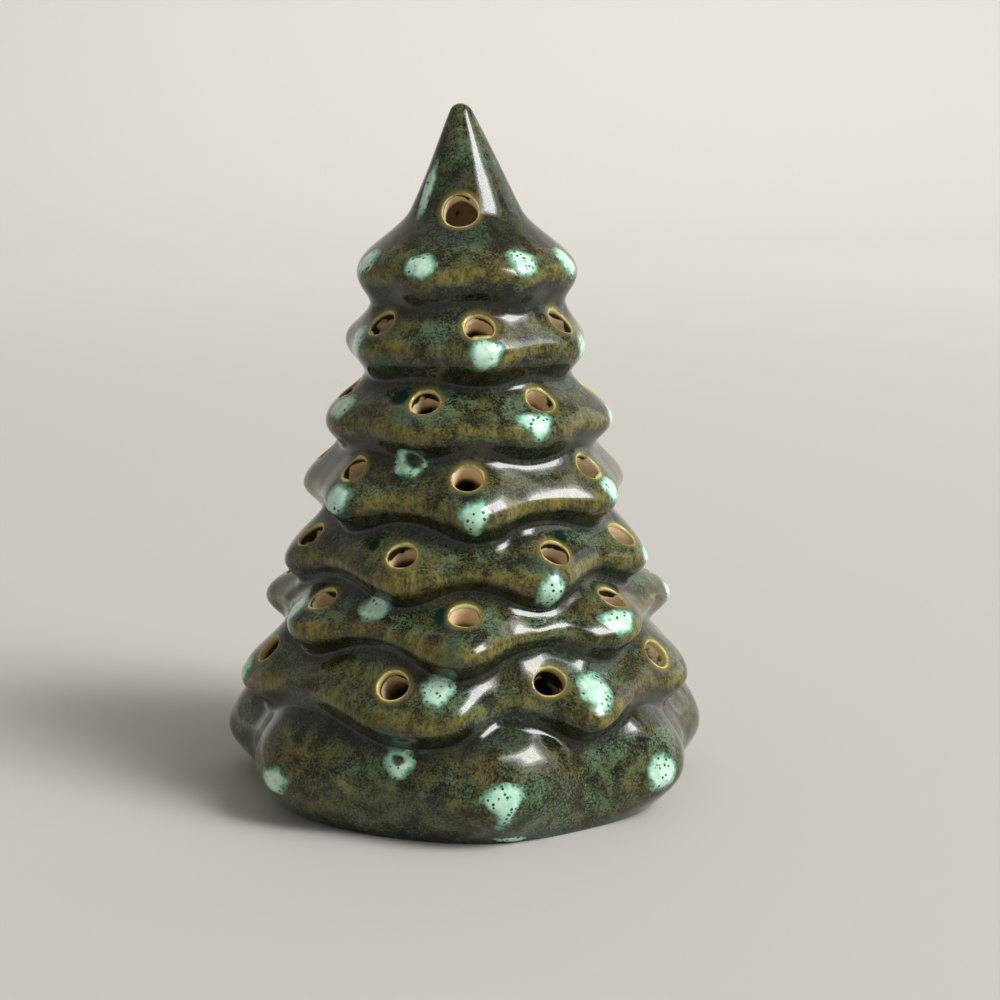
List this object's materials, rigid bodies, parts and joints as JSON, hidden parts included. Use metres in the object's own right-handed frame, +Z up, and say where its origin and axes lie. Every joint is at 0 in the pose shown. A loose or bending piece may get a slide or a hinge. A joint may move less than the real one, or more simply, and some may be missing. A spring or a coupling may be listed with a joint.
{
  "type": "ceramic christmas tree",
  "caption": "Hollow glazed ceramic christmas tree with wavy drooping tiers, round light holes and raised glaze drops, a cover that stands over a tealight.",
  "frame": {"origin": "on the tree's axis, in the plane that its foot stands on", "axes": "+Z up the tree's axis to its tip, -Y the pictured front, +X to the right of that front"},
  "size_m": [0.1091, 0.1073, 0.15],
  "materials": {
    "green_glaze": "glossy mottled dark green glaze that breaks to olive on the edges, bare clay inside",
    "turquoise_glaze": "glossy pale turquoise glaze with dark specks",
    "cup_metal": "thin pressed foil, bright",
    "wax": "white wax, satin and slightly translucent",
    "tin_plate": "tinned steel",
    "cotton": "braided cotton, waxed"
  },
  "bodies": {
    "tealight": {"tealight_cup": "cup_metal"},
    "candle": {"tealight_wax": "wax", "wick_sustainer": "tin_plate", "wick": "cotton"},
    "tree": {"tree_shell": "green_glaze", "glaze_drops": "turquoise_glaze"}
  },
  "joints": [
    {"name": "tree_lift", "type": "slide", "parent": "tealight", "child": "tree", "axis": [0, 0, 1], "range_m": [0, 0.06]},
    {"name": "candle_lift", "type": "slide", "parent": "tealight", "child": "candle", "axis": [0, 0, 1], "range_m": [0, 0.018]}
  ]
}
